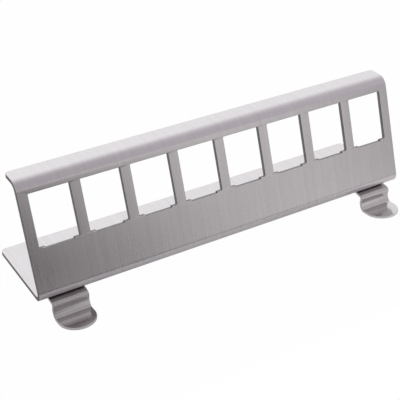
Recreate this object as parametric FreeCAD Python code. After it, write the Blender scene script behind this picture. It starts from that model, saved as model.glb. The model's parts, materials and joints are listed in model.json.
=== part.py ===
import FreeCAD, Part
import math
import os

from FreeCAD import Vector

# Keystone holder for a 35 mm top hat rail: a folded sheet with eight cut-outs on two sprung rail clips.
# Millimetres. +X runs along the rail, +Y to the rear and +Z away from the rail.
# The origin is on the rail's centre line, midway along the holder, in the plane that the rail's lips bear on.

# Top hat rail that the clips grip
RAIL_WIDTH = 35.0
RAIL_LIP = 1.0
RAIL_PLAY = 0.1             # from the rail's rear edge to the fixed hook
LIP_PLAY = 0.2              # under the rail's rear lip

# Folded sheet
SHEET = 1.5
PANEL_ANGLE = 72.0          # between the base and the panel, measured inside
PANEL_SLANT = 43.15         # along the panel's front face, between the folds' sharp corners
BASE_DEPTH = 36.75          # from the front fold's sharp corner to the rear edge
FLANGE_DEPTH = 8.5
FRONT_OVERHANG = 0.8        # sharp corner of the front fold ahead of the rail's front edge
BASE_BEND = 1.55            # inside radii of the two folds
FLANGE_BEND = 3.0
BASE_CORNER = 2.0           # rounded rear corners of the base and of the flange, seen from above
FLANGE_CORNER = 1.5

# Keystone cut-outs
PORTS = 8
PORT_PITCH = 18.75
PORT_WIDTH = 14.9
PORT_HEIGHT = 19.3
PORT_SILL = 19.15           # from the front fold's sharp corner up the panel to the cut-out
LATCH_STEP_WIDTH = 2.1      # raised step in each lower corner of a cut-out
LATCH_STEP_HEIGHT = 0.5
END_MARGIN = 3.75           # from the outer cut-outs to the ends of the sheet

# Rail clip, one sprung strip
STRIP = 0.9
STRIP_WIDTH = 13.6
CLIP_INSET = 10.9           # from the sheet's ends to the clips' middles
JAW_REACH = 2.6             # hook's lip under the rail, from the hook's inner face
HOOK_BEND = 0.5             # inside radii of the strip's bends, from the rear to the front
DROOP_BEND = 6.0
KNEE_BEND = 0.6
LATCH_BEND = 0.5
TAB_BEND = 1.5
DROOP_START = 6.6           # from the rail's front edge back to where the web starts to droop
DROOP_ANGLE = 8.2           # sprung front of the web, pressed up by the rail
KNEE_AHEAD = 0.85           # sharp corners of the leg ahead of the rail's front edge
LATCH_AHEAD = 0.3
TAB_AHEAD = 1.3
LATCH_DROP = 3.2            # the same corners below the rail's lip face
TAB_DROP = 5.6
TAB_RISE = 4.0              # finger tab above the level, in degrees
TAB_STRAIGHT = 3.2          # from the tab's bend to where its end turns round

# Fasteners, M3
THREAD_RADIUS = 1.5
HOLE_PLAY = 0.2             # radial, through the web and the base
NUT_PLAY = 0.03             # radial, thread in nut
WASHER_PLAY = 0.1
SCREW_LENGTH = 8.0
HEAD_RADIUS = 2.8
HEAD_HEIGHT = 2.3
HEAD_BEVEL = 0.7            # slant around the head's face
TIP_CHAMFER = 0.4
RECESS_REACH = 1.5          # cross recess: arm, width and depth, and its share of that size at the bottom
RECESS_WIDTH = 0.75
RECESS_DEPTH = 1.4
RECESS_TAPER = 0.55
WASHER_RADIUS = 3.1
WASHER_THICKNESS = 0.8
WASHER_GAP = 0.5
WASHER_SLANT = 20.0
NUT_FLATS = 5.5
NUT_HEIGHT = 2.4
NUT_CHAMFER_ANGLE = 30.0
SCREW_SPACING = 8.0         # from each clip's front screw to its rear one
HEAD_TO_DROOP = 0.8         # flat web between the front screw's head and the droop

LENGTH = (PORTS - 1) * PORT_PITCH + PORT_WIDTH + 2 * END_MARGIN
CLIP_OFFSET = LENGTH / 2 - CLIP_INSET
RAIL_FRONT = -RAIL_WIDTH / 2
BASE_UNDERSIDE = STRIP
BASE_TOP = BASE_UNDERSIDE + SHEET
PANEL_FOOT = RAIL_FRONT - FRONT_OVERHANG
DROOP_Y = RAIL_FRONT + DROOP_START
FRONT_SCREW_Y = DROOP_Y + HEAD_TO_DROOP + HEAD_RADIUS
TAB_REACH = TAB_STRAIGHT + STRIP_WIDTH / 2
LEAN = math.radians(PANEL_ANGLE)
THROUGH = 1.0               # how far a cutter runs past what it cuts

SIDES = {"left": -CLIP_OFFSET, "right": CLIP_OFFSET}
SCREW_ROWS = {"front": FRONT_SCREW_Y, "rear": FRONT_SCREW_Y + SCREW_SPACING}


def folded_side(points, bends, thickness, offset):
    """Edges of one side of a folded strip, as a list of (start, middle, end) or (start, end) in the YZ plane.

    points are the sharp corners of the reference side. The other side lies to the left of the path,
    and offset is how far this side is from the reference side. bends are inside radii.
    """
    flat = [Vector(0, y, z) for y, z in points]
    heads = [(b - a).normalize() for a, b in zip(flat, flat[1:])]
    lefts = [Vector(0, -d.z, d.y) for d in heads]
    start = flat[0] + lefts[0] * offset
    edges = []
    for corner, bend, d0, d1, n0, n1 in zip(flat[1:], bends, heads, heads[1:], lefts, lefts[1:]):
        turn = math.atan2(d0.y * d1.z - d0.z * d1.y, d0.dot(d1))
        radius = bend + (thickness - offset if turn > 0 else offset)
        sharp = corner + (n0 + n1) * (offset / (1 + n0.dot(n1)))
        reach = radius * math.tan(abs(turn) / 2)
        inward = (n0 + n1).normalize() * math.copysign(1, turn)
        middle = sharp + inward * (radius / math.cos(turn / 2) - radius)
        edges.append((start, sharp - d0 * reach))
        edges.append((sharp - d0 * reach, middle, sharp + d1 * reach))
        start = sharp + d1 * reach
    edges.append((start, flat[-1] + lefts[-1] * offset))
    return edges


def folded_strip(points, bends, thickness, width):
    """Solid of a strip folded along points, centred on X = 0."""
    sides = [folded_side(points, bends, thickness, offset) for offset in (0.0, thickness)]
    ends = [(sides[0][0][0], sides[1][0][0]), (sides[0][-1][-1], sides[1][-1][-1])]
    edges = []
    for run in sides[0] + [ends[1]] + sides[1][::-1] + [ends[0]]:
        curve = Part.Arc(*run) if len(run) == 3 else Part.LineSegment(*run)
        edges.append(curve.toShape())
    section = Part.Face(Part.Wire(Part.__sortEdges__(edges)))
    section.translate(Vector(-width / 2, 0, 0))
    return section.extrude(Vector(width, 0, 0))


def on_panel(x, slant, depth):
    """Point in the panel's own terms: up its front face from the foot, and inward from that face."""
    return Vector(x, PANEL_FOOT + slant * math.cos(LEAN) + depth * math.sin(LEAN),
                  BASE_UNDERSIDE + slant * math.sin(LEAN) - depth * math.cos(LEAN))


def port_cutter(x):
    """Keystone cut-out, square through the panel, with a raised step in each lower corner."""
    half, step = PORT_WIDTH / 2, PORT_WIDTH / 2 - LATCH_STEP_WIDTH
    ledge, top = PORT_SILL + LATCH_STEP_HEIGHT, PORT_SILL + PORT_HEIGHT
    outline = [(-half, ledge), (-step, ledge), (-step, PORT_SILL), (step, PORT_SILL),
               (step, ledge), (half, ledge), (half, top), (-half, top)]
    corners = [on_panel(x + u, slant, -THROUGH) for u, slant in outline]
    depth = on_panel(x, 0, SHEET + THROUGH) - on_panel(x, 0, -THROUGH)
    return Part.Face(Part.makePolygon(corners + corners[:1])).extrude(depth)


def screw_places():
    """Every screw's name ending and axis."""
    return [(f"{side}_{row}", x, y) for side, x in SIDES.items() for row, y in SCREW_ROWS.items()]


def screw_hole(x, y):
    radius = THREAD_RADIUS + HOLE_PLAY
    return Part.makeCylinder(radius, STRIP + SHEET + 2 * THROUGH, Vector(x, y, -THROUGH))


def round_upright_edges(solid, y, radius):
    """Round the sheet's corners at the rear edge that lies at y."""
    corners = [e for e in solid.Edges
               if abs(e.tangentAt(e.FirstParameter).z) > 0.999
               and abs(e.CenterOfMass.y - y) < 0.01
               and abs(abs(e.CenterOfMass.x) - LENGTH / 2) < 0.01]
    return solid.makeFillet(radius, corners)


def bracket():
    """Base, leaning panel and top flange, folded from one sheet."""
    head = on_panel(0, PANEL_SLANT, 0)
    base_rear = PANEL_FOOT + BASE_DEPTH
    flange_rear = head.y + FLANGE_DEPTH
    path = [(flange_rear, head.z), (head.y, head.z),
            (PANEL_FOOT, BASE_UNDERSIDE), (base_rear, BASE_UNDERSIDE)]
    sheet = folded_strip(path, [FLANGE_BEND, BASE_BEND], SHEET, LENGTH)
    sheet = round_upright_edges(sheet, base_rear, BASE_CORNER)
    sheet = round_upright_edges(sheet, flange_rear, FLANGE_CORNER)
    first = -(PORTS - 1) * PORT_PITCH / 2
    cutters = [port_cutter(first + i * PORT_PITCH) for i in range(PORTS)]
    cutters += [screw_hole(x, y) for _, x, y in screw_places()]
    return sheet.cut(cutters)


def clip_outline(bend_y):
    """Clip seen from above: a plain strip whose finger tab has a round end."""
    rear = RAIL_WIDTH / 2 + RAIL_PLAY + STRIP + THROUGH
    centre = bend_y - TAB_STRAIGHT
    half = STRIP_WIDTH / 2
    right, left = Vector(half, centre, 0), Vector(-half, centre, 0)
    edges = [Part.LineSegment(Vector(half, rear, 0), right), Part.LineSegment(Vector(-half, rear, 0), left),
             Part.Arc(right, Vector(0, centre - half, 0), left),
             Part.LineSegment(Vector(-half, rear, 0), Vector(half, rear, 0))]
    return Part.Face(Part.Wire(Part.__sortEdges__([edge.toShape() for edge in edges])))


def rail_clip(x):
    """Fixed hook, web, sprung leg with its latch crease, and finger tab, from one strip."""
    hook_face = RAIL_WIDTH / 2 + RAIL_PLAY
    hook_back = hook_face + STRIP
    hook_bottom = -(RAIL_LIP + LIP_PLAY + STRIP)
    droop, rise = math.radians(DROOP_ANGLE), math.radians(TAB_RISE)
    knee_y = RAIL_FRONT - KNEE_AHEAD
    tab_y = RAIL_FRONT - TAB_AHEAD
    path = [(hook_face - JAW_REACH, hook_bottom), (hook_back, hook_bottom),
            (hook_back, STRIP), (DROOP_Y, STRIP),
            (knee_y, STRIP - (DROOP_Y - knee_y) * math.tan(droop)),
            (RAIL_FRONT - LATCH_AHEAD, -LATCH_DROP), (tab_y, -TAB_DROP),
            (tab_y - TAB_REACH - THROUGH, -TAB_DROP + (TAB_REACH + THROUGH) * math.tan(rise))]
    bends = [HOOK_BEND, HOOK_BEND, DROOP_BEND, KNEE_BEND, LATCH_BEND, TAB_BEND]
    strip = folded_strip(path, bends, STRIP, STRIP_WIDTH + 2 * THROUGH)
    depth = 2 * (TAB_DROP + TAB_REACH)
    outline = clip_outline(tab_y)
    outline.translate(Vector(0, 0, -depth / 2))
    clip = strip.common(outline.extrude(Vector(0, 0, depth)))
    clip.translate(Vector(x, 0, 0))
    return clip.cut([screw_hole(px, y) for _, px, y in screw_places() if px == x])


def cross_recess():
    """Tapered cross, open downward at the screw head's face."""
    def cross(scale, z):
        reach, half = RECESS_REACH * scale, RECESS_WIDTH * scale / 2
        quarter = [(reach, -half), (reach, half), (half, half)]
        points = []
        for turn in range(4):
            c, s = round(math.cos(turn * math.pi / 2)), round(math.sin(turn * math.pi / 2))
            points += [Vector(c * px - s * py, s * px + c * py, z) for px, py in quarter]
        return Part.makePolygon(points + points[:1])
    mouth, floor = cross(1.0, -HEAD_HEIGHT), cross(RECESS_TAPER, RECESS_DEPTH - HEAD_HEIGHT)
    return Part.makeLoft([mouth, floor], True, True)


def turned(half_section):
    """Solid turned round the Z axis from (radius, height) points."""
    points = [Vector(r, 0, z) for r, z in half_section]
    face = Part.Face(Part.makePolygon(points + points[:1]))
    return face.revolve(Vector(0, 0, 0), Vector(0, 0, 1), 360)


def pan_head_screw():
    """Screw pointing up, with its head below the plane that it clamps on."""
    half_section = [(0, -HEAD_HEIGHT), (HEAD_RADIUS - HEAD_BEVEL, -HEAD_HEIGHT),
                    (HEAD_RADIUS, HEAD_BEVEL - HEAD_HEIGHT), (HEAD_RADIUS, 0), (THREAD_RADIUS, 0),
                    (THREAD_RADIUS, SCREW_LENGTH - TIP_CHAMFER),
                    (THREAD_RADIUS - TIP_CHAMFER, SCREW_LENGTH), (0, SCREW_LENGTH)]
    return turned(half_section).cut(cross_recess())


def lock_washer():
    """Spring washer pressed flat, with its slanted split."""
    ring = Part.makeCylinder(WASHER_RADIUS, WASHER_THICKNESS)
    ring = ring.cut(Part.makeCylinder(THREAD_RADIUS + WASHER_PLAY, WASHER_THICKNESS))
    split = Part.makeBox(WASHER_GAP, WASHER_RADIUS + THROUGH, WASHER_THICKNESS + 2 * THROUGH,
                         Vector(-WASHER_GAP / 2, 0, -THROUGH))
    split.rotate(Vector(0, 0, WASHER_THICKNESS / 2), Vector(0, 1, 0), WASHER_SLANT)
    return ring.cut(split)


def hexagon_nut():
    """Nut with the corners turned off at both faces."""
    corner = NUT_FLATS / math.sqrt(3)
    turns = [math.radians(60 * i + 30) for i in range(7)]
    points = [Vector(corner * math.cos(turn), corner * math.sin(turn), 0) for turn in turns]
    prism = Part.Face(Part.makePolygon(points)).extrude(Vector(0, 0, NUT_HEIGHT))
    face, outer = NUT_FLATS / 2, 1.05 * corner
    rise = (outer - face) * math.tan(math.radians(NUT_CHAMFER_ANGLE))
    half_section = [(0, 0), (face, 0), (outer, rise), (outer, NUT_HEIGHT - rise),
                    (face, NUT_HEIGHT), (0, NUT_HEIGHT)]
    blank = prism.common(turned(half_section))
    return blank.cut(Part.makeCylinder(THREAD_RADIUS + NUT_PLAY, NUT_HEIGHT))


def placed(shape, x, y, z):
    copy = shape.copy()
    copy.translate(Vector(x, y, z))
    return copy


def build():
    """Every piece of the holder, by node name."""
    nodes = {"holder_bracket": bracket()}
    for side, x in SIDES.items():
        nodes[f"rail_clip_{side}"] = rail_clip(x)
    screw, washer, nut = pan_head_screw(), lock_washer(), hexagon_nut()
    for place, x, y in screw_places():
        nodes[f"clip_screw_{place}"] = placed(screw, x, y, 0)
        nodes[f"lock_washer_{place}"] = placed(washer, x, y, BASE_TOP)
        nodes[f"clip_nut_{place}"] = placed(nut, x, y, BASE_TOP + WASHER_THICKNESS)
    return nodes


os.makedirs("parts", exist_ok=True)
for name, shape in build().items():
    solid = shape.removeSplitter()
    solid = solid.Solids[0] if len(solid.Solids) == 1 else solid
    solid.exportStep(f"parts/{name}.step")
    box = solid.BoundBox
    spans = [(box.XMin, box.XMax), (box.YMin, box.YMax), (box.ZMin, box.ZMax)]
    print(name, len(solid.Solids), "solid, valid", solid.isValid(), f"{solid.Volume:.1f} mm3",
          [(round(low, 2), round(high, 2)) for low, high in spans])
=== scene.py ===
import bmesh
import bpy
import json
import math
from mathutils import Matrix, Vector
from mathutils.geometry import delaunay_2d_cdt

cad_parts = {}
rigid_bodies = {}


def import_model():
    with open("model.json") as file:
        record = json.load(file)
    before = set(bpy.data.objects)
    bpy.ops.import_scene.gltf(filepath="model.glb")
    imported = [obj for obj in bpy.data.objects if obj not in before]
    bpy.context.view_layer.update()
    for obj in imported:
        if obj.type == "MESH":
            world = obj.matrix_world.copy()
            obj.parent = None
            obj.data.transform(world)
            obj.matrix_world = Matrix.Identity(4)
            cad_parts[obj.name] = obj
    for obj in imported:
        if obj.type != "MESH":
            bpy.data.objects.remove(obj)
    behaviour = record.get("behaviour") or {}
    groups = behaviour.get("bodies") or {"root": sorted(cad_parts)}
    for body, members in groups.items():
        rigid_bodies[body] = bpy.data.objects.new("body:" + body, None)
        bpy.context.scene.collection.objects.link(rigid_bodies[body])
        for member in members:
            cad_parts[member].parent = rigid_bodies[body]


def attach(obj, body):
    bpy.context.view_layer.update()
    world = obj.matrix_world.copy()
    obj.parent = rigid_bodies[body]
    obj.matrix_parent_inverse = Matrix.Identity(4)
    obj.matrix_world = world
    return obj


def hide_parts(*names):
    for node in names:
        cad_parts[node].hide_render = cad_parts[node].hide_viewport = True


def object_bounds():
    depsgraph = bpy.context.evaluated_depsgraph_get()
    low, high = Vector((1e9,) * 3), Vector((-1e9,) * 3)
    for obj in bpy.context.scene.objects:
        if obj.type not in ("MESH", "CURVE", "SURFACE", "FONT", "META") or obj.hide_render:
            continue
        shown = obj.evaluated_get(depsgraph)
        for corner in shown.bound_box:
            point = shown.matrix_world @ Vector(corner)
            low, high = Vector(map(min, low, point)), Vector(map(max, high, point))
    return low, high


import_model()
cad_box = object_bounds()

MM = 0.001


class Wire:
    """A socket's output in a node tree. Sums on it add Math nodes."""

    def __init__(self, tree, socket):
        self.tree, self.socket = tree, socket

    def maths(self, operation, *values):
        return add_node(self.tree, "ShaderNodeMath", {"operation": operation}, dict(enumerate(values)))

    def __add__(self, other):
        return self.maths("ADD", self, other)

    def __sub__(self, other):
        return self.maths("SUBTRACT", self, other)

    def __rsub__(self, other):
        return self.maths("SUBTRACT", other, self)

    def __mul__(self, other):
        return self.maths("MULTIPLY", self, other)

    __radd__, __rmul__ = __add__, __mul__

    def larger(self, other):
        return self.maths("MAXIMUM", self, other)

    def smaller(self, other):
        return self.maths("MINIMUM", self, other)

    def over(self, other):
        return self.maths("DIVIDE", self, other)

    def size(self):
        return self.maths("ABSOLUTE", self)

    def eased(self, low, high):
        """0 up to low, 1 from high, and a smooth rise between them."""
        return add_node(self.tree, "ShaderNodeMapRange", {"interpolation_type": "SMOOTHSTEP"},
                        {"Value": self, "From Min": low, "From Max": high})


def add_node(tree, kind, settings=None, sockets=None, out=0):
    """Adds a node, with its settings first and then its sockets' values or links, and returns one output."""
    node = tree.nodes.new(kind)
    for name, value in (settings or {}).items():
        setattr(node, name, value)
    for key, value in (sockets or {}).items():
        if isinstance(value, Wire):
            tree.links.new(value.socket, node.inputs[key])
        else:
            node.inputs[key].default_value = value
    return Wire(tree, node.outputs[out])


def split(tree, vector):
    """The three parts of a vector."""
    parts = add_node(tree, "ShaderNodeSeparateXYZ", {}, {0: vector})
    return [Wire(tree, output) for output in parts.socket.node.outputs]


def object_place(tree):
    return add_node(tree, "ShaderNodeTexCoord", out="Object")


def grey(level):
    return (level, level, level, 1.0)


def close_tree(tree, kind, shader):
    """Ends a material's or the world's tree with its output node."""
    tree.links.new(shader.socket, tree.nodes.new(kind).inputs["Surface"])


def new_tree(material):
    material.use_nodes = True
    material.node_tree.nodes.clear()
    return material.node_tree


def new_piece(name, data):
    piece = bpy.data.objects.new(name, data)
    bpy.context.scene.collection.objects.link(piece)
    return piece


# Camera of the photograph, fitted to the edges of the cut-outs, the base and the flange
SENSOR_WIDTH, FOCAL_LENGTH = 36.0, 92.146
CAMERA_PLACE = (-0.169925, -0.279905, 0.210693)
CAMERA_TURN = (0.841414, 0.470124, -0.126727, -0.234405)
NEAREST, FARTHEST = 0.01, 20.0

camera = new_piece("camera", bpy.data.cameras.new("camera"))
camera.data.sensor_width, camera.data.lens = SENSOR_WIDTH, FOCAL_LENGTH
camera.data.clip_start, camera.data.clip_end = NEAREST, FARTHEST
camera.location = CAMERA_PLACE
camera.rotation_mode = "QUATERNION"
camera.rotation_quaternion = CAMERA_TURN
bpy.context.scene.camera = camera
bpy.context.scene.view_settings.view_transform = "Standard"

# World, by the direction that a ray goes in. A pair is where a smooth change starts and where it ends.
BACKDROP = (-0.15, 0.8)
CEILING, CEILING_LEVEL = (0.08, 0.4), 0.38
CEILING_RIGHT, CEILING_RIGHT_GAIN = (0.22, 0.46), 0.162
ROOM_LEVEL, LIGHT_LEVEL = 0.036, 0.79
LIGHT_LEFT, LIGHT_RIGHT = 21.8, 39.5                        # the broad light's edges, in degrees
LEFT_SOFTNESS, RIGHT_SOFTNESS, LEFT_TILT = 0.09, 0.14, 0.9
LIGHT_TOP, LIGHT_FOOT = (0.1, 0.4), (-0.65, -0.3)
ROOM_GREEN, ROOM_BLUE, CEILING_GREEN = 0.97, 0.95, 0.94     # shares of the red level


def studio_world():
    """White backdrop behind and wherever the camera looks, dimmer ceiling, dark room ahead with one broad light."""
    world = bpy.data.worlds.new("studio")
    bpy.context.scene.world = world
    sky = new_tree(world)
    ray = add_node(sky, "ShaderNodeTexCoord")
    right, back, height = split(sky, ray)

    def past_edge(degrees, softness, tilt=0.0):
        """1 to the right of an edge, which stands that many degrees from straight ahead towards the right.

        A tilt of 0 is an upright edge, and with a larger one it leans to the left above the horizon.
        """
        turn = math.radians(degrees)
        across = add_node(sky, "ShaderNodeVectorMath", {"operation": "DOT_PRODUCT"},
                          {0: ray, 1: (math.cos(turn), math.sin(turn), tilt)}, out="Value")
        return across.eased(-softness, softness)

    broad_light = past_edge(LIGHT_LEFT, LEFT_SOFTNESS, LEFT_TILT) * (1.0 - past_edge(LIGHT_RIGHT, RIGHT_SOFTNESS))
    broad_light = broad_light * (1.0 - height.eased(*LIGHT_TOP)) * height.eased(*LIGHT_FOOT)
    ceiling = height.eased(*CEILING) * (CEILING_LEVEL + right.eased(*CEILING_RIGHT) * CEILING_RIGHT_GAIN)
    room = ROOM_LEVEL + broad_light * LIGHT_LEVEL
    tint = add_node(sky, "ShaderNodeCombineColor", {},
                    {"Red": room + ceiling, "Green": room * ROOM_GREEN + ceiling * CEILING_GREEN,
                     "Blue": room * ROOM_BLUE + ceiling})
    dim = add_node(sky, "ShaderNodeBackground", {}, {"Color": tint, "Strength": 1.0})
    white = add_node(sky, "ShaderNodeBackground", {}, {"Color": grey(1.0), "Strength": 1.0})
    seen = add_node(sky, "ShaderNodeLightPath", out="Is Camera Ray")
    share = seen.larger(back.eased(*BACKDROP))
    close_tree(sky, "ShaderNodeOutputWorld", add_node(sky, "ShaderNodeMixShader", {}, {0: share, 1: dim, 2: white}))


# Floor: a sheet of white paper that ends a little in front of the object
PAPER_AHEAD, PAPER_REACH = 0.045, 3.0
PAPER_GREY, PAPER_SEEN = 0.8, 0.985         # its own grey, and its share of plain white in the camera's view
MIRRORED, MIRRORED_SHARE = (-0.1, 0.0), 0.24              # painted reflection: the floor's glow as the metal mirrors it, rising along X
MIRRORED_RIGHT, MIRRORED_RIGHT_GAIN = (0.05, 0.085), 0.15


def paper_floor():
    """Keeps the object's shadow, and is dimmer where the metal mirrors it than where the camera sees it; its glow in
    the metal rises along X as a painted reflection.
    """
    paint = bpy.data.materials.new("white_floor")
    tree = new_tree(paint)
    matte = add_node(tree, "ShaderNodeBsdfDiffuse", {}, {"Color": grey(PAPER_GREY)})
    glow = add_node(tree, "ShaderNodeEmission", {}, {"Color": grey(1.0), "Strength": 1.0})
    seen = add_node(tree, "ShaderNodeLightPath", out="Is Camera Ray")
    mirrored = Wire(tree, seen.socket.node.outputs["Is Glossy Ray"])
    x = split(tree, object_place(tree))[0]
    # Painted reflection: a glow in the metal's view of the floor that rises towards +X
    painted_reflection_glow = x.eased(*MIRRORED) * MIRRORED_SHARE + x.eased(*MIRRORED_RIGHT) * MIRRORED_RIGHT_GAIN
    share = (seen * PAPER_SEEN).larger(mirrored * painted_reflection_glow)
    surface = add_node(tree, "ShaderNodeMixShader", {}, {0: share, 1: matte, 2: glow})
    close_tree(tree, "ShaderNodeOutputMaterial", surface)
    front, height = cad_box[0].y - PAPER_AHEAD, cad_box[0].z
    mesh = bpy.data.meshes.new("floor")
    mesh.from_pydata([(-PAPER_REACH, front, height), (PAPER_REACH, front, height),
                      (PAPER_REACH, PAPER_REACH, height), (-PAPER_REACH, PAPER_REACH, height)], [], [(0, 1, 2, 3)])
    mesh.materials.append(paint)
    new_piece("floor", mesh)


LAMP_PLACE, LAMP_AIM, LAMP_SIDE, LAMP_POWER = (0.2, 0.5, 0.9), (0.0, 0.0, 0.01), 1.6, 0.3


def top_light():
    light = bpy.data.lights.new("top_light", "AREA")
    light.shape, light.size, light.size_y = "RECTANGLE", LAMP_SIDE, LAMP_SIDE
    light.energy = LAMP_POWER
    lamp = new_piece("top_light", light)
    lamp.location = LAMP_PLACE
    lamp.rotation_mode = "QUATERNION"
    lamp.rotation_quaternion = (Vector(LAMP_AIM) - Vector(LAMP_PLACE)).to_track_quat("-Z", "Y")


studio_world()
paper_floor()
top_light()


def noise(tree, place, scale, detail=2.0, roughness=0.5):
    """Noise from 0 to 1 on a place, with a scale for each axis."""
    spread = add_node(tree, "ShaderNodeMapping", {}, {"Vector": place, "Scale": scale})
    return add_node(tree, "ShaderNodeTexNoise", {},
                    {"Vector": spread, "Scale": 1.0, "Detail": detail, "Roughness": roughness})


def swing(wire, amount):
    """A change of half the amount either way, from a wire between 0 and 1."""
    return (wire - 0.5) * amount


def attribute(tree, name):
    return add_node(tree, "ShaderNodeAttribute", {"attribute_name": name}, out="Fac")


def toned(tree, colour, tone):
    return add_node(tree, "ShaderNodeVectorMath", {"operation": "SCALE"}, {0: colour, "Scale": tone})


# Places of a Mix node's colour sockets, which share their names with its other ones
MIX_SHARE, MIX_FROM, MIX_TO, MIXED = 0, 6, 7, 2


def blended(tree, share, colour, other):
    """A colour that turns into the other as the share goes from 0 to 1."""
    return add_node(tree, "ShaderNodeMix", {"data_type": "RGBA"},
                    {MIX_SHARE: share, MIX_FROM: colour, MIX_TO: other}, out=MIXED)


BUMP = 0.09


def finish_metal(tree, colour, roughness, height, depth):
    bump = add_node(tree, "ShaderNodeBump", {}, {"Height": height, "Strength": BUMP, "Distance": depth})
    metal = add_node(tree, "ShaderNodeBsdfPrincipled", {},
                     {"Base Color": colour, "Roughness": roughness, "Metallic": 1.0, "Normal": bump})
    close_tree(tree, "ShaderNodeOutputMaterial", metal)


def flat_place(tree):
    """Place on the unfolded strip: across it and along it."""
    return add_node(tree, "ShaderNodeCombineXYZ", {},
                    {0: split(tree, object_place(tree))[0], 1: attribute(tree, "along")})


# Noise on the folded strips. Scales are cells to a metre, and stretches are how much longer than wide a cell is.
FINE_STRETCH, FINE_DETAIL, FINE_HARSHNESS, FINE_ROUGH = 45, 4.0, 0.65, 0.1
BROAD_WIDTH, BROAD_LENGTH, BROAD_DETAIL, BROAD_TONE = 4.5, 180, 3.0, 0.18       # as shares of the fine grain
CLOUD_SCALE, CLOUD_TONE, CLOUD_ROUGH = 32.0, 0.07, 0.06
CUT_SCALE, CUT_TONE = 5200.0, 0.6
# How much painted shade darkens the strip along tight bends' edges, and the bumps' depth in metres
PAINTED_CREASE_SHADE, STRIP_DEPTH = 0.18, 0.00003


def strip_metal(name, colour, edge_colour_and_painted_light, rough, edge_rough, grain, streak):
    """Rolled metal brushed along the strip.

    Its cut edges have their own colour and roughness, and show the marks of the cut. On the sheet that colour is
    partly the edges' own darker sheared finish and partly painted shade; on the clip it is a painted highlight of
    the rim. The grain is the number of brush marks side by side in a metre, and the streak is how much they change
    the tone.
    """
    material = bpy.data.materials.new(name)
    tree = new_tree(material)
    place = flat_place(tree)
    fine = noise(tree, place, (grain, grain / FINE_STRETCH, 1.0), FINE_DETAIL, FINE_HARSHNESS)
    broad = noise(tree, place, (grain / BROAD_WIDTH, grain / BROAD_LENGTH, 1.0), BROAD_DETAIL)
    cloud = noise(tree, place, (CLOUD_SCALE, CLOUD_SCALE, 1.0))
    marks = noise(tree, place, (CUT_SCALE, CUT_SCALE, 1.0))
    cut = attribute(tree, "cut")
    # Painted shade darkens the tone along each tight bend's edges, where the crease attribute is 1
    face = toned(tree, colour, 1.0 + swing(fine, streak) + swing(broad, BROAD_TONE) + swing(cloud, CLOUD_TONE)
                 - attribute(tree, "crease") * PAINTED_CREASE_SHADE)
    # Cut edges: on the sheet partly their own darker finish and partly painted shade, on the clip a painted
    # highlight
    edge = toned(tree, edge_colour_and_painted_light, 1.0 + swing(marks, CUT_TONE))
    roughness = rough + swing(fine, FINE_ROUGH) + swing(cloud, CLOUD_ROUGH) + cut * (edge_rough - rough)
    finish_metal(tree, blended(tree, cut, face, edge), roughness, fine + cut * (marks - fine), STRIP_DEPTH)
    return material


BLUISH, STRAW = (0.73, 0.77, 0.83, 1.0), (0.82, 0.80, 0.73, 1.0)
PATCH_SCALE, PATCH_DETAIL, PATCH_EDGES = 420.0, 3.0, (0.35, 0.65)
GRAIN_SCALE, GRAIN_DETAIL, GRAIN_HARSHNESS, GRAIN_TONE, GRAIN_ROUGH = 3000.0, 2.0, 0.6, 0.2, 0.2
# Painted shade in the threads' grooves, and their extra roughness
GROOVE_SHADE, GROOVE_ROUGH = 0.45, 0.2
PLATE_ROUGH, PLATE_DEPTH = 0.27, 0.00002


def zinc_plate():
    """Bright plating that turns bluish and straw-coloured in soft patches, with painted shade in the threads'
    grooves.
    """
    material = bpy.data.materials.new("zinc_plate")
    tree = new_tree(material)
    place = object_place(tree)
    patches = noise(tree, place, (PATCH_SCALE,) * 3, PATCH_DETAIL)
    grain = noise(tree, place, (GRAIN_SCALE,) * 3, GRAIN_DETAIL, GRAIN_HARSHNESS)
    groove = attribute(tree, "groove")
    plate = blended(tree, patches.eased(*PATCH_EDGES), BLUISH, STRAW)
    # Painted shade darkens the threads' grooves
    colour = toned(tree, plate, 1.0 + swing(grain, GRAIN_TONE) - groove * GROOVE_SHADE)
    roughness = PLATE_ROUGH + swing(grain, GRAIN_ROUGH) + groove * GROOVE_ROUGH
    finish_metal(tree, colour, roughness, grain, PLATE_DEPTH)
    return material


looks = {
    # The sheet's dark edge colour is partly painted shade; the clip's bright edge colour is a painted highlight
    "stainless_sheet": strip_metal("brushed_stainless", colour=(0.745, 0.72, 0.74), edge_colour_and_painted_light=(0.26, 0.255, 0.26),
                                   rough=0.28, edge_rough=0.48, grain=2600.0, streak=0.1),
    "spring_steel": strip_metal("spring_steel", colour=(0.64, 0.62, 0.62), edge_colour_and_painted_light=(0.90, 0.88, 0.88),
                                rough=0.11, edge_rough=0.32, grain=1800.0, streak=0.06),
    "plated_fastener": zinc_plate()}


# Sizes of the folded sheet, the clips and the fasteners, in millimetres as in the part's source
RAIL_WIDTH, RAIL_LIP, RAIL_PLAY, LIP_PLAY = 35.0, 1.0, 0.1, 0.2
SHEET, LEAN, PANEL_SLANT, BASE_DEPTH, FLANGE_DEPTH = 1.5, math.radians(72.0), 43.15, 36.75, 8.5
FRONT_OVERHANG, BASE_BEND, FLANGE_BEND, BASE_CORNER, FLANGE_CORNER = 0.8, 1.55, 3.0, 2.0, 1.5
PORTS, PITCH, PORT_WIDTH, PORT_HEIGHT, PORT_SILL, END_MARGIN = 8, 18.75, 14.9, 19.3, 19.15, 3.75
STEP_WIDTH, STEP_HEIGHT = 2.1, 0.5
STRIP, STRIP_WIDTH, CLIP_INSET, JAW_REACH = 0.9, 13.6, 10.9, 2.6
HOOK_BEND, DROOP_BEND, KNEE_BEND, LATCH_BEND, TAB_BEND = 0.5, 6.0, 0.6, 0.5, 1.5
DROOP_START, DROOP_ANGLE = 6.6, math.radians(8.2)
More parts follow.
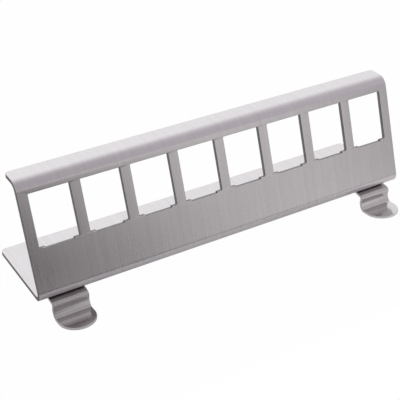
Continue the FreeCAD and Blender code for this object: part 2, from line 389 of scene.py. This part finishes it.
KNEE_AHEAD, LATCH_AHEAD, TAB_AHEAD = 0.85, 0.3, 1.3
LATCH_DROP, TAB_DROP, TAB_RISE, TAB_STRAIGHT = 3.2, 5.6, math.radians(4.0), 3.2
THREAD_RADIUS, HOLE_PLAY, NUT_PLAY, WASHER_PLAY = 1.5, 0.2, 0.03, 0.1
SCREW_LENGTH, HEAD_RADIUS, HEAD_HEIGHT, TIP_CHAMFER = 8.0, 2.8, 2.3, 0.4
RECESS_REACH, RECESS_WIDTH, RECESS_DEPTH, RECESS_TAPER = 1.5, 0.75, 1.4, 0.55
WASHER_RADIUS, WASHER_THICKNESS, WASHER_GAP, WASHER_SLANT = 3.1, 0.8, 0.5, math.radians(20.0)
NUT_FLATS, NUT_HEIGHT, NUT_CHAMFER = 5.5, 2.4, math.radians(30.0)
SCREW_SPACING, HEAD_TO_DROOP = 8.0, 0.8

# Finer shapes than the part's source has
SHEET_EDGE, STRIP_EDGE, WASHER_EDGE = 0.14, 0.16, 0.12      # rounding left on the edges
PORT_CORNER, HOOK_CORNER = 0.25, 0.4
CROWN, HEAD_LIP, RECESS_LIP = 1.2, 0.12, 0.06               # rounding of the screw head, its rim and its recess
THREAD_PITCH, THREAD_DEPTH, THREAD_START = 0.5, 0.27, 2.9
NUT_SINK, NUT_FACE_INSET, NUT_BLUNTING = 0.2, 0.05, 0.02    # countersink, face inside the flats, blunt corners
CREASE, WIDE_BEND = 0.45, 4.0           # width of the painted shade beside a tight bend's edge, and the bend radius from which none is painted
SCREW_TURNS = (18, 64, 41, 7)           # where each screw happened to stop, in degrees

# Facets of the curves
BEND_FACET, ARC_FACET = math.radians(6), 0.25
EDGE_ANGLES = [math.radians(angle) for angle in (0, 30, 60, 90)]
CROWN_ANGLES = [math.radians(angle) for angle in range(0, 91, 15)]
HOLE_SIDES, TAB_SIDES, SCREW_SIDES, WASHER_SIDES, THREAD_ROWS = 40, 40, 48, 64, 10
NUT_SIDE_DEGREES = (-28, -20, -10, 0, 10, 20, 28, 30)
SMOOTH_UP_TO = math.radians(38.0)

# Distances that count as none: between the points of a mesh in metres, then between places in millimetres
WELD, SAME_PLACE, ON_MARK = 2e-7, 1e-6, 1e-4

LENGTH = (PORTS - 1) * PITCH + PORT_WIDTH + 2 * END_MARGIN
RAIL_FRONT = -RAIL_WIDTH / 2
FOOT = RAIL_FRONT - FRONT_OVERHANG
DROOP_Y = RAIL_FRONT + DROOP_START
FRONT_SCREW_Y = DROOP_Y + HEAD_TO_DROOP + HEAD_RADIUS
SCREW_ROWS = {"front": FRONT_SCREW_Y, "rear": FRONT_SCREW_Y + SCREW_SPACING}
CLIP_OFFSET = LENGTH / 2 - CLIP_INSET
SIDES = {"left": -CLIP_OFFSET, "right": CLIP_OFFSET}


class NodeGroup:
    """A Geometry Nodes tree with named inputs, used as a modifier."""

    def __init__(self, name, inputs):
        self.tree = bpy.data.node_groups.new(name, "GeometryNodeTree")
        self.tree.is_modifier = True
        self.tree.interface.new_socket("Geometry", in_out="INPUT", socket_type="NodeSocketGeometry")
        self.ids = {}
        for label, kind in {**inputs, "Material": "NodeSocketMaterial"}.items():
            self.ids[label] = self.tree.interface.new_socket(label, in_out="INPUT", socket_type=kind).identifier
        self.tree.interface.new_socket("Geometry", in_out="OUTPUT", socket_type="NodeSocketGeometry")
        self.entry = self.tree.nodes.new("NodeGroupInput")

    def wire(self, label):
        return Wire(self.tree, self.entry.outputs[label])

    def finish(self, geometry):
        """Ends the tree with Realize Instances and Set Material."""
        real = add_node(self.tree, "GeometryNodeRealizeInstances", {}, {0: geometry})
        painted = add_node(self.tree, "GeometryNodeSetMaterial", {}, {0: real, "Material": self.wire("Material")})
        end = self.tree.nodes.new("NodeGroupOutput")
        self.tree.links.new(painted.socket, end.inputs["Geometry"])
        return self

    def add_to(self, piece, **values):
        modifier = piece.modifiers.new(self.tree.name, "NODES")
        modifier.node_group = self.tree
        for label, value in values.items():
            modifier[self.ids[label]] = value


def made_plain(piece):
    """Turns what the modifiers show into the piece's own mesh and removes them."""
    bpy.context.view_layer.update()
    shown = piece.evaluated_get(bpy.context.evaluated_depsgraph_get())
    mesh = bpy.data.meshes.new_from_object(shown)
    piece.modifiers.clear()
    piece.data = mesh
    mesh.name = piece.name
    return piece


def closed_mesh(name, shape, material):
    """Mesh of a bmesh whose faces are joined and point outwards."""
    bmesh.ops.remove_doubles(shape, verts=shape.verts, dist=WELD)
    bmesh.ops.delete(shape, geom=[v for v in shape.verts if not v.link_faces], context="VERTS")
    bmesh.ops.recalc_face_normals(shape, faces=shape.faces)
    mesh = bpy.data.meshes.new(name)
    shape.to_mesh(mesh)
    shape.free()
    mesh.materials.append(material)
    return mesh


def evened(piece):
    """Smooth shading over small angles, with flat faces left flat."""
    piece.data.shade_smooth()
    piece.data.set_sharp_from_angle(angle=SMOOTH_UP_TO)
    weighted = piece.modifiers.new("even_faces", "WEIGHTED_NORMAL")
    weighted.keep_sharp = True
    return made_plain(piece)


def stands_for(piece, node):
    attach(piece, "root")
    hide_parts(node)


def named_float(tree, name):
    return add_node(tree, "GeometryNodeInputNamedAttribute", {"data_type": "FLOAT"}, {"Name": name})


def press_brake():
    """One bend of a flat blank, which lies along +Y. What lies past the bend turns with it."""
    group = NodeGroup("press_brake", dict.fromkeys(("Start", "Radius", "Turn"), "NodeSocketFloat"))
    tree, start, radius = group.tree, group.wire("Start"), group.wire("Radius")
    travel = (named_float(tree, "along") - start).larger(0.0).smaller(radius * group.wire("Turn"))
    slide = add_node(tree, "ShaderNodeCombineXYZ", {}, {"Y": travel})
    back = add_node(tree, "ShaderNodeVectorMath", {"operation": "SUBTRACT"},
                    {0: add_node(tree, "GeometryNodeInputPosition"), 1: slide})
    axis = add_node(tree, "ShaderNodeCombineXYZ", {}, {"Y": start, "Z": radius})
    bent = add_node(tree, "ShaderNodeVectorRotate", {"rotation_type": "X_AXIS"},
                    {"Vector": back, "Center": axis, "Angle": travel.over(radius)})
    return group.finish(add_node(tree, "GeometryNodeSetPosition", {}, {0: group.wire("Geometry"), "Position": bent}))


def cut_out_row():
    """One outline repeated along X."""
    group = NodeGroup("cut_out_row",
                      {"Count": "NodeSocketInt", "Pitch": "NodeSocketFloat", "First": "NodeSocketFloat"})
    tree = group.tree
    first = add_node(tree, "ShaderNodeCombineXYZ", {}, {"X": group.wire("First")})
    pitch = add_node(tree, "ShaderNodeCombineXYZ", {}, {"X": group.wire("Pitch")})
    places = add_node(tree, "GeometryNodeMeshLine", {},
                      {"Count": group.wire("Count"), "Start Location": first, "Offset": pitch})
    return group.finish(add_node(tree, "GeometryNodeInstanceOnPoints", {},
                                 {"Points": places, "Instance": group.wire("Geometry")}))


def thread_cutter():
    """Cuts a plain round shank along Z inwards in a helix, as far as its attribute groove says."""
    group = NodeGroup("thread", {"Pitch": "NodeSocketFloat", "Depth": "NodeSocketFloat"})
    tree = group.tree
    x, y, z = split(tree, add_node(tree, "GeometryNodeInputPosition"))
    climb = z.over(group.wire("Pitch")) - y.maths("ARCTAN2", y, x) * (1 / math.tau)
    valley = (climb.maths("FRACT", climb) * 2.0 - 1.0).size()
    share = named_float(tree, "groove") * valley
    radius = x.maths("SQRT", x * x + y * y).larger(SAME_PLACE)
    push = (share * group.wire("Depth") * -1.0).over(radius)
    shift = add_node(tree, "ShaderNodeCombineXYZ", {}, {"X": x * push, "Y": y * push})
    moved = add_node(tree, "GeometryNodeSetPosition", {}, {0: group.wire("Geometry"), "Offset": shift})
    return group.finish(add_node(tree, "GeometryNodeStoreNamedAttribute", {"data_type": "FLOAT", "domain": "POINT"},
                                 {0: moved, "Name": "groove", "Value": share}))


brake, row, cutter = press_brake(), cut_out_row(), thread_cutter()


class Fold:
    """Bends of a strip that is folded along sharp corners in the YZ plane.

    The corners are the strip's reference side, and its other side lies to the left of the path.
    A bend is (start, signed radius, turn), with its start along the flat strip.
    """

    def __init__(self, corners, inside_radii, thickness):
        self.corners = [Vector(c) for c in corners]
        self.thickness = thickness
        heads = [(b - a).normalized() for a, b in zip(self.corners, self.corners[1:])]
        self.heading = math.atan2(heads[0].y, heads[0].x)
        self.bends, self.starts, self.reaches = [], [0.0], [0.0]
        for i, inside in enumerate(inside_radii):
            before, after = heads[i], heads[i + 1]
            turn = math.atan2(before.x * after.y - before.y * after.x, before.dot(after))
            radius = inside + (thickness if turn > 0 else 0.0)
            reach = radius * math.tan(abs(turn) / 2)
            start = self.flat_at(i, (self.corners[i + 1] - self.corners[i]).length - reach)
            self.bends.append((start, math.copysign(radius, turn), turn))
            self.starts.append(start + radius * abs(turn))
            self.reaches.append(reach)

    def flat_at(self, run, distance):
        """Place along the flat strip of a point on a straight run, at a distance from the run's first corner."""
        return self.starts[run] - self.reaches[run] + distance

    def creases(self):
        """Places along the flat strip where a tight bend starts or ends."""
        return [start + share * radius * turn for start, radius, turn in self.bends
                if abs(radius) < WIDE_BEND for share in (0, 1)]

    def stations(self):
        """Places along the flat strip that get a line across it: the creases, their sides and a bend's facets."""
        creases = self.creases()
        marks = [crease - CREASE for crease in creases[::2]] + [crease + CREASE for crease in creases[1::2]]
        for start, radius, turn in self.bends:
            facets = max(2, math.ceil(abs(turn) / BEND_FACET))
            marks += [start + radius * turn * k / facets for k in range(facets + 1)]
        return marks

    def place(self, piece):
        """Folds a flat piece and moves it from the flat strip's place to the path's."""
        for start, radius, turn in reversed(self.bends):
            brake.add_to(piece, Start=start * MM, Radius=radius * MM, Turn=turn, Material=piece.data.materials[0])
        made_plain(piece)
        origin = Vector((0.0, self.corners[0].x, self.corners[0].y)) * MM
        piece.data.transform(Matrix.Translation(origin) @ Matrix.Rotation(self.heading, 4, "X"))


def rounded(corners):
    """Closed outline from (x, y, radius) corners."""
    loop = []
    spots = [Vector(corner[:2]) for corner in corners]
    for before, at, after, (_, _, radius) in zip([spots[-1]] + spots[:-1], spots, spots[1:] + spots[:1], corners):
        if not radius:
            loop.append(at)
            continue
        arriving, leaving = (at - before).normalized(), (after - at).normalized()
        turn = math.atan2(arriving.x * leaving.y - arriving.y * leaving.x, arriving.dot(leaving))
        side = math.copysign(radius, turn)
        centre = at - arriving * radius * math.tan(abs(turn) / 2) + Vector((-arriving.y, arriving.x)) * side
        start = math.atan2(-arriving.x * side, arriving.y * side)
        facets = max(3, math.ceil(radius * abs(turn) / ARC_FACET))
        angles = [start + turn * k / facets for k in range(facets + 1)]
        loop += [centre + Vector((math.cos(angle), math.sin(angle))) * radius for angle in angles]
    return loop


def inset(loop, distance):
    """A closed outline moved to its left."""
    moved = []
    for before, at, after in zip([loop[-1]] + loop[:-1], loop, loop[1:] + loop[:1]):
        ahead, behind = (after - at).normalized(), (at - before).normalized()
        left0, left1 = Vector((-behind.y, behind.x)), Vector((-ahead.y, ahead.x))
        moved.append(at + (left0 + left1) * (distance / (1 + left0.dot(left1))))
    return moved


def with_stations(outline, marks):
    """The outline with a point wherever a bend's line crosses one of its edges that run along the strip."""
    full = []
    for a, b in zip(outline, outline[1:] + outline[:1]):
        full.append(a)
        crossed = [m for m in marks if min(a.y, b.y) + SAME_PLACE < m < max(a.y, b.y) - SAME_PLACE]
        for mark in sorted(crossed, reverse=a.y > b.y):
            full.append(a + (b - a) * ((mark - a.y) / (b.y - a.y)))
    return full


def is_inside(point, rims):
    """True where the point lies inside the first outline and outside the others."""
    crossings = 0
    for rim in rims:
        for a, b in zip(rim, rim[1:] + rim[:1]):
            if (a.y > point.y) != (b.y > point.y) and point.x < a.x + (b.x - a.x) * (point.y - a.y) / (b.y - a.y):
                crossings += 1
    return crossings % 2 == 1


def filled(rims, marks):
    """Points and triangles of the region between the rims, with a line across it at each mark."""
    points, lines = [], []
    for rim in rims:
        lines += [(len(points) + i, len(points) + (i + 1) % len(rim)) for i in range(len(rim))]
        points += rim
    for mark in marks:
        across = [i for i, p in enumerate(rims[0]) if abs(p.y - mark) < ON_MARK]
        lines.append((min(across, key=lambda i: points[i].x), max(across, key=lambda i: points[i].x)))
    spots, _, faces = delaunay_2d_cdt(points, lines, [], 0, SAME_PLACE)[:3]
    return spots, [f for f in faces if is_inside(sum((spots[i] for i in f), Vector((0, 0))) / 3, rims)]


def join_rings(shape, rings):
    """Faces between neighbouring rings of points. Where a whole ring is one point, they are triangles."""
    for lower, upper in zip(rings, rings[1:]):
        for i in range(len(lower)):
            corners = (lower[i - 1], lower[i], upper[i], upper[i - 1])
            shape.faces.new(list(dict.fromkeys(corners)))


def blank(name, outer, holes, fold, edge, material, x=0.0):
    """A cut-out and folded sheet with rounded cut edges. The attribute cut is 1 on its cut edges."""
    marks = fold.stations()
    loops = [with_stations(outer, marks)] + holes
    profile = [(edge * (1 - math.sin(a)), edge * (1 - math.cos(a))) for a in EDGE_ANGLES]
    profile += [(side, fold.thickness - depth) for side, depth in reversed(profile)]
    shape = bmesh.new()
    cut = shape.verts.layers.float.new("cut")
    along = shape.verts.layers.float.new("along")
    crease = shape.verts.layers.float.new("crease")
    creases = fold.creases()

    def vertex(point, depth, share):
        made = shape.verts.new((point.x * MM, point.y * MM, depth * MM))
        made[cut], made[along] = share, point.y * MM
        # crease is 1 where painted shade darkens the strip along a tight bend's edge
        made[crease] = float(any(abs(point.y - mark) < ON_MARK for mark in creases))
        return made

    for loop in loops:
        join_rings(shape, [[vertex(p, depth, 1 - side / edge) for p in inset(loop, side)]
                           for side, depth in profile])
    spots, faces = filled([inset(loop, edge) for loop in loops], marks)
    for depth in (0.0, fold.thickness):
        corners = [vertex(p, depth, 0.0) for p in spots]
        for face in faces:
            shape.faces.new([corners[i] for i in face])
    piece = new_piece(name, closed_mesh(name, shape, material))
    fold.place(piece)
    piece.data.transform(Matrix.Translation((x * MM, 0, 0)))
    return evened(piece)


def screw_hole(x, y):
    """Run clockwise, so that the sheet lies to its left."""
    radius, angles = THREAD_RADIUS + HOLE_PLAY, [math.tau * k / HOLE_SIDES for k in range(HOLE_SIDES)]
    return [Vector((x + radius * math.cos(angle), y - radius * math.sin(angle))) for angle in angles]


def port_row(fold):
    """Outlines of the cut-outs on the flat sheet, run clockwise."""
    half, step = PORT_WIDTH / 2, PORT_WIDTH / 2 - STEP_WIDTH
    ledge, top = PORT_SILL + STEP_HEIGHT, PORT_SILL + PORT_HEIGHT
    slants = [(-half, ledge, PORT_CORNER), (-step, ledge, 0.0), (-step, PORT_SILL, 0.0), (step, PORT_SILL, 0.0),
              (step, ledge, 0.0), (half, ledge, PORT_CORNER), (half, top, PORT_CORNER), (-half, top, PORT_CORNER)]
    outline = rounded([(x, fold.flat_at(1, PANEL_SLANT - slant), radius) for x, slant, radius in slants])
    count = len(outline)
    mesh = bpy.data.meshes.new("cut_out")
    mesh.from_pydata([(p.x, p.y, 0.0) for p in outline], [(i, (i + 1) % count) for i in range(count)], [])
    template = new_piece("cut_out", mesh)
    first = -(PORTS - 1) * PITCH / 2
    row.add_to(template, Count=PORTS, Pitch=PITCH, First=first, Material=looks["stainless_sheet"])
    spots = [Vector(v.co[:2]) for v in made_plain(template).data.vertices]
    bpy.data.objects.remove(template)
    return [spots[i * count:(i + 1) * count] for i in range(PORTS)]


def bracket():
    """Base, leaning panel and top flange, folded from one sheet."""
    head = (FOOT + PANEL_SLANT * math.cos(LEAN), STRIP + PANEL_SLANT * math.sin(LEAN))
    fold = Fold([(head[0] + FLANGE_DEPTH, head[1]), head, (FOOT, STRIP), (FOOT + BASE_DEPTH, STRIP)],
                [FLANGE_BEND, BASE_BEND], SHEET)
    half, end = LENGTH / 2, fold.flat_at(2, BASE_DEPTH)
    outer = rounded([(-half, 0.0, FLANGE_CORNER), (half, 0.0, FLANGE_CORNER),
                     (half, end, BASE_CORNER), (-half, end, BASE_CORNER)])
    holes = [screw_hole(x, fold.flat_at(2, y - FOOT)) for x in SIDES.values() for y in SCREW_ROWS.values()]
    piece = blank("folded_bracket", outer, port_row(fold) + holes, fold, SHEET_EDGE, looks["stainless_sheet"])
    stands_for(piece, "holder_bracket")


def rail_clip(side, x):
    """Fixed hook, web, sprung leg with its latch crease, and finger tab with a round end, from one strip."""
    hook_back = RAIL_WIDTH / 2 + RAIL_PLAY + STRIP
    hook_bottom = -(RAIL_LIP + LIP_PLAY + STRIP)
    knee_y, tab_y = RAIL_FRONT - KNEE_AHEAD, RAIL_FRONT - TAB_AHEAD
    reach = TAB_STRAIGHT + STRIP_WIDTH / 2
    fold = Fold([(hook_back - STRIP - JAW_REACH, hook_bottom), (hook_back, hook_bottom), (hook_back, STRIP),
                 (DROOP_Y, STRIP), (knee_y, STRIP - (DROOP_Y - knee_y) * math.tan(DROOP_ANGLE)),
                 (RAIL_FRONT - LATCH_AHEAD, -LATCH_DROP), (tab_y, -TAB_DROP),
                 (tab_y - reach, -TAB_DROP + reach * math.tan(TAB_RISE))],
                [HOOK_BEND, HOOK_BEND, DROOP_BEND, KNEE_BEND, LATCH_BEND, TAB_BEND], STRIP)
    half, centre = STRIP_WIDTH / 2, fold.flat_at(6, TAB_STRAIGHT - STRIP * math.sin(TAB_RISE))
    angles = [math.pi * k / TAB_SIDES for k in range(TAB_SIDES + 1)]
    end = [(half * math.cos(angle), centre + half * math.sin(angle), 0.0) for angle in angles]
    outer = rounded([(-half, 0.0, HOOK_CORNER), (half, 0.0, HOOK_CORNER)] + end)
    holes = [screw_hole(0.0, fold.flat_at(2, hook_back - y)) for y in SCREW_ROWS.values()]
    piece = blank(f"sprung_clip_{side}", outer, holes, fold, STRIP_EDGE, looks["spring_steel"], x)
    stands_for(piece, f"rail_clip_{side}")


def spun_vertex(shape, radius, angle, height):
    return shape.verts.new((radius * MM * math.cos(angle), radius * MM * math.sin(angle), height * MM))


def turned_rings(shape, rows, angles):
    """Rings round Z, one for each (radius, height) row, joined by faces. A radius of 0 closes the end."""
    rings = []
    for radius, height in rows:
        if radius:
            rings.append([spun_vertex(shape, radius, angle, height) for angle in angles])
        else:
            rings.append([spun_vertex(shape, 0.0, 0.0, height)] * len(angles))
    join_rings(shape, rings)
    return rings


def cross_outline(scale):
    """The recess's cross, run clockwise."""
    reach, half = RECESS_REACH * scale, RECESS_WIDTH * scale / 2
    quarter = [Vector((reach, half)), Vector((reach, -half)), Vector((half, -half))]
    return [Matrix.Rotation(-quarter_turn * math.pi / 2, 2) @ p for quarter_turn in range(4) for p in quarter]


def screw_mesh():
    """Pan-head screw pointing up, with a cross recess and a cut thread."""
    shape = bmesh.new()
    groove = shape.verts.layers.float.new("groove")
    angles = [math.tau * k / SCREW_SIDES for k in range(SCREW_SIDES)]
    face_radius, threaded = HEAD_RADIUS - CROWN, SCREW_LENGTH - THREAD_START
    crown = [(face_radius + CROWN * math.sin(a), CROWN * (1 - math.cos(a)) - HEAD_HEIGHT) for a in CROWN_ANGLES]
    steps = round(threaded / THREAD_PITCH * THREAD_ROWS)
    heights = [THREAD_START + threaded * k / steps for k in range(steps + 1)]
    shank = [(THREAD_RADIUS - max(0.0, z - (SCREW_LENGTH - TIP_CHAMFER)), z) for z in heights]
    rim_rows = [(HEAD_RADIUS, -HEAD_LIP), (HEAD_RADIUS - HEAD_LIP, 0.0), (THREAD_RADIUS, 0.0)]
    rows = crown + rim_rows + shank
    rings = turned_rings(shape, rows + [(0.0, SCREW_LENGTH)], angles)
    for (_, height), ring in zip(rows, rings):
        share = min((height - THREAD_START) / THREAD_PITCH, (SCREW_LENGTH - height) / TIP_CHAMFER, 1.0)
        for vertex in ring:
            vertex[groove] = max(0.0, share)
    rim = [Vector((face_radius * math.cos(a), face_radius * math.sin(a))) for a in angles]
    mouth = cross_outline(1.0)
    softened = inset(mouth, RECESS_LIP)
    spots, faces = filled([rim, softened], [])
    face_points = [shape.verts.new((p.x * MM, p.y * MM, -HEAD_HEIGHT * MM)) for p in spots]
    for face in faces:
        shape.faces.new([face_points[i] for i in face])
    walls = [(softened, -HEAD_HEIGHT), (mouth, RECESS_LIP - HEAD_HEIGHT),
             (cross_outline(RECESS_TAPER), RECESS_DEPTH - HEAD_HEIGHT)]
    loops = [[shape.verts.new((p.x * MM, p.y * MM, z * MM)) for p in outline] for outline, z in walls]
    join_rings(shape, loops)
    shape.faces.new(loops[-1])
    template = new_piece("screw", closed_mesh("screw", shape, looks["plated_fastener"]))
    cutter.add_to(template, Pitch=THREAD_PITCH * MM, Depth=THREAD_DEPTH * MM, Material=looks["plated_fastener"])
    return made_plain(template)


def washer_mesh():
    """Split spring washer, pressed flat."""
    inner = THREAD_RADIUS + WASHER_PLAY
    half_gap = WASHER_GAP / 2 / math.cos(WASHER_SLANT)
    section = rounded([(inner, 0.0, WASHER_EDGE), (WASHER_RADIUS, 0.0, WASHER_EDGE),
                       (WASHER_RADIUS, WASHER_THICKNESS, WASHER_EDGE), (inner, WASHER_THICKNESS, WASHER_EDGE)])
    shape = bmesh.new()
    rings = []
    for k in range(WASHER_SIDES + 1):
        ring = []
        for radius, height in section:
            middle = (height - WASHER_THICKNESS / 2) * math.tan(WASHER_SLANT)
            start = math.acos((middle - half_gap) / radius)
            end = math.acos((middle + half_gap) / radius) + math.tau
            ring.append(spun_vertex(shape, radius, start + (end - start) * k / WASHER_SIDES, height))
        rings.append(ring)
    join_rings(shape, rings)
    shape.faces.new(rings[0])
    shape.faces.new(rings[-1])
    return new_piece("washer", closed_mesh("washer", shape, looks["plated_fastener"]))


def nut_mesh():
    """Hexagon nut with blunt corners, turned-off faces and a countersunk bore."""
    flat, bore = NUT_FLATS / 2, THREAD_RADIUS + NUT_PLAY
    face = flat - NUT_FACE_INSET
    directions = [side * 60 + part for side in range(6) for part in NUT_SIDE_DEGREES]

    def section(degrees):
        """Closed section from the bore out to the nut's side in one direction, as (radius, height) points."""
        away = abs((degrees + 30) % 60 - 30)
        side = flat / math.cos(math.radians(away)) - (NUT_BLUNTING if away == 30 else 0.0)
        drop = (side - face) * math.tan(NUT_CHAMFER)
        return [(bore + NUT_SINK, 0.0), (bore, NUT_SINK),
                (bore, NUT_HEIGHT - NUT_SINK), (bore + NUT_SINK, NUT_HEIGHT),
                (face, NUT_HEIGHT), (side, NUT_HEIGHT - drop), (side, drop), (face, 0.0)]

    shape = bmesh.new()
    rings = [[spun_vertex(shape, radius, math.radians(degrees), height)
              for degrees, (radius, height) in zip(directions, ring)]
             for ring in zip(*[section(degrees) for degrees in directions])]
    join_rings(shape, rings + rings[:1])
    return new_piece("nut", closed_mesh("nut", shape, looks["plated_fastener"]))


def fasteners():
    """Four sets of screw, washer and nut."""
    heights = {"clip_screw": 0.0, "lock_washer": STRIP + SHEET, "clip_nut": STRIP + SHEET + WASHER_THICKNESS}
    templates = {"clip_screw": screw_mesh(), "lock_washer": washer_mesh(), "clip_nut": nut_mesh()}
    places = [(side, row_name, x, y) for side, x in SIDES.items() for row_name, y in SCREW_ROWS.items()]
    for screw_turn, (side, row_name, x, y) in zip(SCREW_TURNS, places):
        for kind, template in templates.items():
            turn = Matrix.Rotation(math.radians(screw_turn if kind == "clip_screw" else 0), 4, "Z")
            mesh = template.data.copy()
            mesh.transform(Matrix.Translation((x * MM, y * MM, heights[kind] * MM)) @ turn)
            piece = evened(new_piece(f"{kind}_set_{side}_{row_name}", mesh))
            stands_for(piece, f"{kind}_{side}_{row_name}")
    for template in templates.values():
        bpy.data.objects.remove(template)


bracket()
for side_name, offset in SIDES.items():
    rail_clip(side_name, offset)
fasteners()
